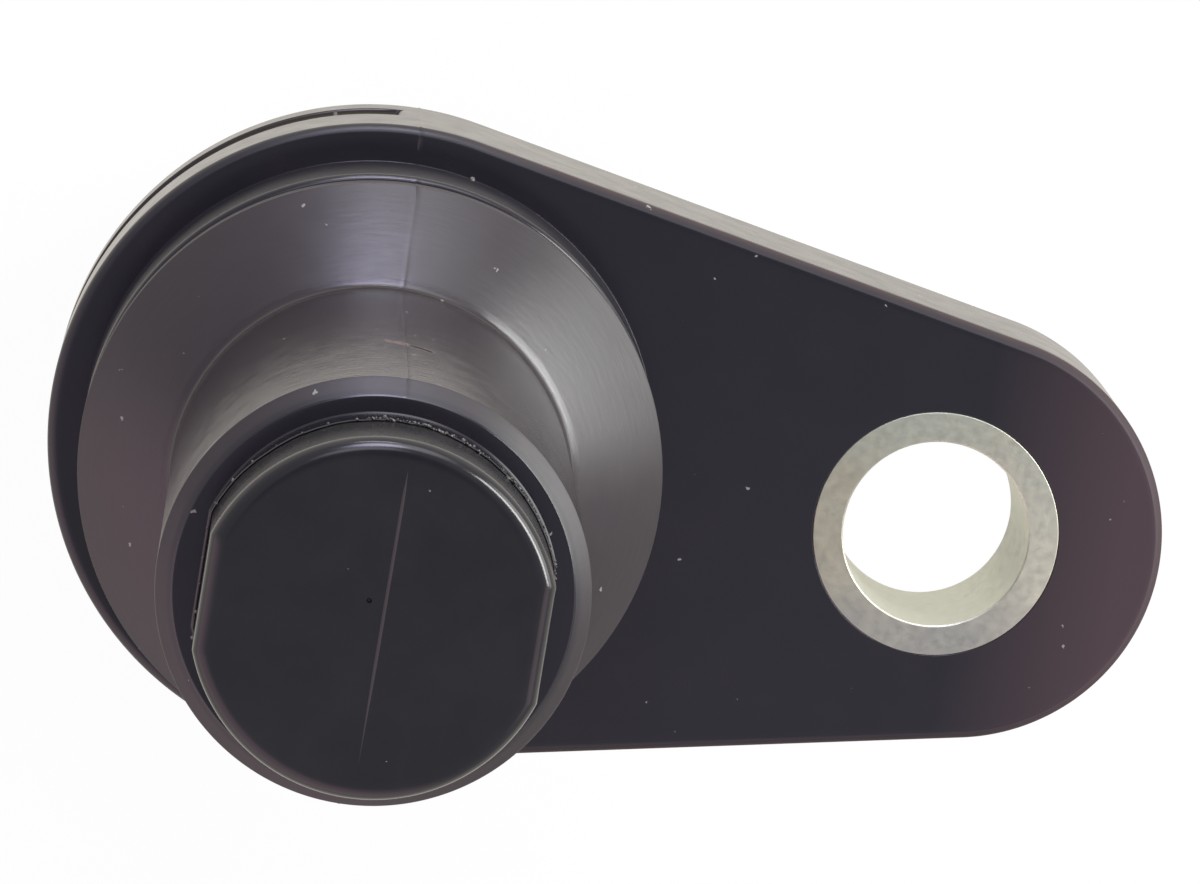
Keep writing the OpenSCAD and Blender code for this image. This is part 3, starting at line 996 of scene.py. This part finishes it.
# Fine streaks round the barrel, from the turned wall of the mould.
streak_place = joined(
    tree, X=math_of(tree, "MULTIPLY", way_round["X"], streak_turn_waves),
    Y=math_of(tree, "MULTIPLY", way_round["Y"], streak_turn_waves),
    Z=math_of(tree, "MULTIPLY", axis_distance, streak_depth_waves))
streaks = add_node(tree, "ShaderNodeTexNoise", {
    "Vector": streak_place, "W": math_of(tree, "MULTIPLY", axes["Z"], streak_axis_waves),
    "Scale": 1.0, "Detail": 3.0}, noise_dimensions="4D").outputs["Fac"]
streaks = both(tree, spread(tree, streaks, *streak_span), on_barrel)

# The black is navy on the plate, and browner on the barrel, on the rim, along its worn edge and at the ear.
cloud = spread(tree, skin_effect.outputs["Cloud"], *cloud_span, 0.0, cloud_most)
barrel_share = both(tree, on_barrel, spread(tree, streaks, 0.0, 1.0, barrel_warmth, 1.0))
worn_share = both(tree, on_worn_edge, spread(tree, axes["Z"], *worn_tint_span, 1.0, 0.0))
plastic = mixed(tree, math_of(tree, "MAXIMUM", cloud, barrel_share), navy_colour, warm_colour)
plastic = mixed(tree, spread(tree, axes["X"], *ear_span), plastic, ear_colour)
plastic = mixed(tree, worn_share, plastic, worn_edge_colour)
plastic = mixed(tree, on_rim, plastic, rim_colour)
# The lower ledge of the rim groove is coloured a lighter brown-grey.
plastic = mixed(tree, on_ledge, plastic, groove_ledge_colour)

# A short reddish scuff across the neck, beside the mould line, with a black fleck at its end.
scuff_lean = math_of(tree, "MULTIPLY_ADD", axes["X"], scuff_slope, axes["Z"])
scuff_place = add_node(tree, "ShaderNodeMapping", {"Vector": place, "Scale": scuff_stretch})
scuff_grain = speckle(tree, scuff_place.outputs["Vector"], scuff_waves)
in_front = spread(tree, axes["Y"], *scuff_front)
scuff = both(tree, within(tree, axes["X"], *scuff_x_zone), within(tree, scuff_lean, *scuff_z_zone))
scuff = both(tree, scuff, both(tree, spread(tree, scuff_grain, *scuff_grain_span), in_front))
fleck = both(tree, within(tree, axes["X"], *fleck_x_zone), within(tree, scuff_lean, *fleck_z_zone))
fleck = both(tree, fleck, in_front)
marked = mixed(tree, fleck, mixed(tree, scuff, plastic, scuff_colour), fleck_colour)

# The neck is the glossiest part, and each of these zones is duller by its own share.
smudges = spread(tree, speckle(tree, place, smudge_waves, 4), *smudge_span, *neck_roughness)
rough = math_of(tree, "MULTIPLY_ADD", streaks, streak_dulling, smudges)
dull_zones = (
    (on_cone, 0.145), (on_bevel, 0.24), (on_collar, 0.25), (on_lip, 0.3), (on_edge, 0.2),
    (on_rim, 0.04), (on_worn_edge, 0.4), (scuff, 0.3), (fleck, 0.5),
)
for mask, more in dull_zones:
    rough = math_of(tree, "MULTIPLY_ADD", mask, more, rough)
grain_height = both(tree, skin_effect.outputs["Height"], spread(tree, on_rim, 0, 1, 1.0, rim_grain))
relief = math_of(tree, "MULTIPLY_ADD", streaks, streak_relief, grain_height)
use(
    tree, shader,
    Base_Color=mixed(tree, dust_effect.outputs["Mask"], marked, dust_colour),
    Roughness=rough,
    Normal=raised(tree, relief, skin_grain_h),
)

housing = flange_and_barrel()
unite(housing, [connector(), *latch_pieces()])
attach(housing, "root")
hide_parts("housing")


# Flash on the tip
# Crumbs of the housing's plastic that tore off the film where the mould closed round the tip.
# They cling to the step between barrel and tip, thickest at the top and at the right.
crumb_count = 42
crumb_low_r = 0.025
crumb_high_r = 0.085
crumb_least_shape = (0.5, 0.5, 0.4)
crumb_most_shape = (1.3, 1.0, 0.8)
crumb_most_turn = (6, 6, 6)
crumb_stray = 0.11
crumb_stray_shape = Vector((0.35, 0.35, 1))
crumb_sink = 0.05
crumb_arcs = ((0, 360), (62, 102), (5, 58))
stray_seed = 4
turn_seed = 9
size_seed = 15
shape_seed = 21
crumb_colour = (0.055, 0.050, 0.046, 1)
torn_colour = (0.17, 0.16, 0.15, 1)
torn_waves = 5
torn_span = (0.4, 0.65)
torn_patches = (8, 0.45, 0.7)

torn, tree, shader = new_finish("torn_plastic")
place = place_in_mm(tree)
torn_share = spread(tree, speckle(tree, place, torn_waves), *torn_span)
use(
    tree, shader,
    Base_Color=mixed(tree, torn_share, crumb_colour, torn_colour),
    Roughness=patchy(tree, place, *torn_patches),
)


def crumb_paths():
    """The lines that the crumbs lie on, along the edge of the film."""
    bm = bmesh.new()
    outline = tip_outline(-seat_gap - film_w)

    def turn_of(point):
        return math.degrees(math.atan2(point[1], point[0])) % 360

    for start, end in crumb_arcs:
        chain = sorted((point for point in outline if start <= turn_of(point) <= end), key=turn_of)
        verts = add_ring(bm, chain, film_z - crumb_sink)
        for first, second in zip(verts, verts[1:]):
            bm.edges.new((first, second))
    return new_mesh(bm, "tip_flash")


def crumb_tree():
    """Scatters small rough crumbs along the lines it is given."""
    tree = bpy.data.node_groups.new("flash_crumbs", "GeometryNodeTree")
    tree.interface.new_socket("Geometry", in_out="INPUT", socket_type="NodeSocketGeometry")
    tree.interface.new_socket("Count", in_out="INPUT", socket_type="NodeSocketInt")
    for label in ("Smallest", "Largest", "Stray"):
        tree.interface.new_socket(label, in_out="INPUT", socket_type="NodeSocketFloat")
    tree.interface.new_socket("Finish", in_out="INPUT", socket_type="NodeSocketMaterial")
    tree.interface.new_socket("Geometry", in_out="OUTPUT", socket_type="NodeSocketGeometry")
    given = tree.nodes.new("NodeGroupInput").outputs

    def random_vector(low, high, seed):
        limits = {0: low, 1: high, "Seed": seed}
        return add_node(tree, "FunctionNodeRandomValue", limits, data_type="FLOAT_VECTOR").outputs[0]

    def scaled(vector, scale):
        parts = {0: vector, "Scale": scale}
        return add_node(tree, "ShaderNodeVectorMath", parts, operation="SCALE").outputs["Vector"]

    curve = add_node(tree, "GeometryNodeMeshToCurve", {"Mesh": given["Geometry"]}).outputs["Curve"]
    points = add_node(
        tree, "GeometryNodeCurveToPoints", {"Curve": curve, "Count": given["Count"]}, mode="COUNT")
    stray = scaled(random_vector(-crumb_stray_shape, crumb_stray_shape, stray_seed), given["Stray"])
    strayed = add_node(tree, "GeometryNodeSetPosition", {
        "Geometry": points.outputs["Points"], "Offset": stray})
    crumb = add_node(tree, "GeometryNodeMeshIcoSphere", {"Radius": 1.0, "Subdivisions": 1}).outputs["Mesh"]
    size = add_node(tree, "FunctionNodeRandomValue", {
        2: given["Smallest"], 3: given["Largest"], "Seed": size_seed}, data_type="FLOAT").outputs[1]
    crumbs = add_node(tree, "GeometryNodeInstanceOnPoints", {
        "Points": strayed.outputs["Geometry"], "Instance": crumb,
        "Rotation": random_vector((0, 0, 0), crumb_most_turn, turn_seed),
        "Scale": scaled(random_vector(crumb_least_shape, crumb_most_shape, shape_seed), size)})
    real = add_node(tree, "GeometryNodeRealizeInstances", {"Geometry": crumbs.outputs["Instances"]})
    dressed = add_node(tree, "GeometryNodeSetMaterial", {
        "Geometry": real.outputs["Geometry"], "Material": given["Finish"]})
    end = tree.nodes.new("NodeGroupOutput")
    tree.links.new(dressed.outputs["Geometry"], end.inputs["Geometry"])
    return tree


def grown(name, mesh, tree, **values):
    """A piece made by a tree of geometry nodes, as a plain mesh."""
    piece = new_object(name, mesh)
    grow = piece.modifiers.new("grow", "NODES")
    grow.node_group = tree
    for socket in tree.interface.items_tree:
        if socket.in_out == "INPUT" and socket.name in values:
            grow[socket.identifier] = values[socket.name]
    apply_modifiers(piece)
    return piece


flash = grown(
    "tip_flash", crumb_paths(), crumb_tree(), Count=crumb_count, Smallest=crumb_low_r * mm,
    Largest=crumb_high_r * mm, Stray=crumb_stray * mm, Finish=torn)
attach(flash, "root")


# Floor and light
# White paper under the sensor, a little creamy where the plastic mirrors it, and a soft sky that is
# brighter at the horizon and warm on the left, with a softbox to the right and a small violet-white lamp.
floor_half = 1.5
floor_gap = 0.02
floor_colour = (0.9, 0.9, 0.9, 1)
floor_glow = 0.94
white = (1, 1, 1, 1)
mirrored_paper_colour = (0.95, 0.90, 0.82, 1)
sky_top_colour = (0.47, 0.47, 0.53, 1)
sky_edge_colour = (0.66, 0.65, 0.67, 1)
sky_edge_span = (0.1, 0.75)
sky_dark_colour = (0.20, 0.20, 0.24, 1)
sky_dark_place = (90, 79, 10, 24)
# Each glow has its azimuth and elevation, the angles where it is full and gone, and its colour.
sky_glows = (
    (28, 7, 12, 29, (4.3, 4.4, 4.2, 1)),
    (98, 26, 6, 13, (6.4, 6.1, 8.6, 1)),
    (98, 34, 3, 7, (1.9, 1.85, 2.15, 1)),
    (86, 18, 6, 22, (2.6, 2.6, 2.75, 1)),
    (104, 50, 6, 15, (2.0, 1.85, 2.1, 1)),
    (235, 2, 38, 72, (0.95, 0.60, 0.70, 1)),
    (-14, 34, 8, 24, (0.95, 0.66, 0.72, 1)),
)
lamp_distance = 0.55
# Each lamp has its name, width, length, brightness as seen, colour, azimuth and elevation.
strip_lamps = (
    ("right_strip", 0.42, 0.11, 16, (1.0, 1.0, 0.98), 33, 30),
    ("top_strip", 0.14, 0.04, 10, (0.95, 0.92, 1.0), 98, 3),
)

bm = bmesh.new()
bmesh.ops.create_grid(bm, x_segments=1, y_segments=1, size=floor_half)
bmesh.ops.translate(bm, verts=bm.verts, vec=(0, 0, cad_low[2] - floor_gap * mm))
floor = new_object("floor", new_mesh(bm, "floor"))
floor_finish, tree = new_finish("white_floor")[:2]
tree.nodes.clear()
seen = add_node(tree, "ShaderNodeLightPath").outputs
seen_share = math_of(tree, "MAXIMUM", seen["Is Camera Ray"], seen["Is Glossy Ray"])
seen_share = math_of(tree, "MAXIMUM", seen_share, seen["Is Transmission Ray"])
paper = add_node(tree, "ShaderNodeBsdfDiffuse", {"Color": floor_colour})
glow_colour = mixed(tree, seen["Is Glossy Ray"], white, mirrored_paper_colour)
glow = add_node(tree, "ShaderNodeEmission", {"Color": glow_colour, "Strength": 1.0})
blend = add_node(tree, "ShaderNodeMixShader", {
    "Fac": math_of(tree, "MULTIPLY", seen_share, floor_glow),
    1: paper.outputs["BSDF"], 2: glow.outputs["Emission"]})
add_node(tree, "ShaderNodeOutputMaterial", {"Surface": blend.outputs["Shader"]})
floor.data.materials.append(floor_finish)

sky = bpy.data.worlds.new("studio_sky")
sky.use_nodes = True
tree = sky.node_tree
look_way = add_node(tree, "ShaderNodeTexCoord").outputs["Generated"]


def sky_way(azimuth, elevation):
    """The way to a place in the sky."""
    turn, rise = math.radians(azimuth), math.radians(elevation)
    return Vector((math.cos(turn) * math.cos(rise), math.sin(turn) * math.cos(rise), math.sin(rise)))


def sky_share(azimuth, elevation, full, gone):
    """1 within an angle of a place in the sky, and 0 beyond a larger one."""
    ways = {0: look_way, 1: sky_way(azimuth, elevation)}
    near = add_node(tree, "ShaderNodeVectorMath", ways, operation="DOT_PRODUCT").outputs["Value"]
    limits = {"From Min": math.cos(math.radians(gone)), "From Max": math.cos(math.radians(full))}
    return add_node(
        tree, "ShaderNodeMapRange", {"Value": near, **limits},
        interpolation_type="SMOOTHSTEP").outputs["Result"]


height = axes_of(tree, look_way)["Z"]
light = mixed(tree, spread(tree, height, *sky_edge_span), sky_edge_colour, sky_top_colour)
light = mixed(tree, sky_share(*sky_dark_place), light, sky_dark_colour)
for *glow_place, glow_light in sky_glows:
    light = add_node(
        tree, "ShaderNodeMix", {0: sky_share(*glow_place), 6: light, 7: glow_light},
        data_type="RGBA", blend_type="ADD").outputs[2]
tree.links.new(light, tree.nodes["Background"].inputs["Color"])
bpy.context.scene.world = sky

for name, width, length, brightness, colour, azimuth, elevation in strip_lamps:
    lamp = bpy.data.lights.new(name, "AREA")
    lamp.shape = "RECTANGLE"
    lamp.size = width
    lamp.size_y = length
    lamp.energy = brightness * math.pi * width * length
    lamp.color = colour
    way = sky_way(azimuth, elevation)
    faced = way.to_track_quat("Z", "Y").to_matrix().to_4x4()
    new_object(name, lamp).matrix_world = Matrix.Translation(way * lamp_distance) @ faced


# Camera
# It looks down on the tip, a little from above the plate and from the left, through a long lens.
# Its place is in millimetres in the part's own frame.
camera_place = Vector((-7.037, 37.535, 240.09))
camera_right = Vector((0.98576, 0.16412, 0.03654))
camera_up = Vector((-0.15655, 0.97516, -0.15669))
camera_lens = 210
camera_film_w = 36
camera_clip = 0.01

camera_back = camera_right.cross(camera_up)
turned = Matrix((camera_right, camera_up, camera_back)).transposed().to_4x4()
camera_data = bpy.data.cameras.new("camera")
camera_data.sensor_fit = "HORIZONTAL"
camera_data.sensor_width = camera_film_w
camera_data.lens = camera_lens
camera_data.clip_start = camera_clip
camera = new_object("camera", camera_data)
camera.matrix_world = Matrix.Translation(camera_place * mm) @ turned
bpy.context.scene.camera = camera
bpy.context.scene.view_settings.view_transform = "Standard"
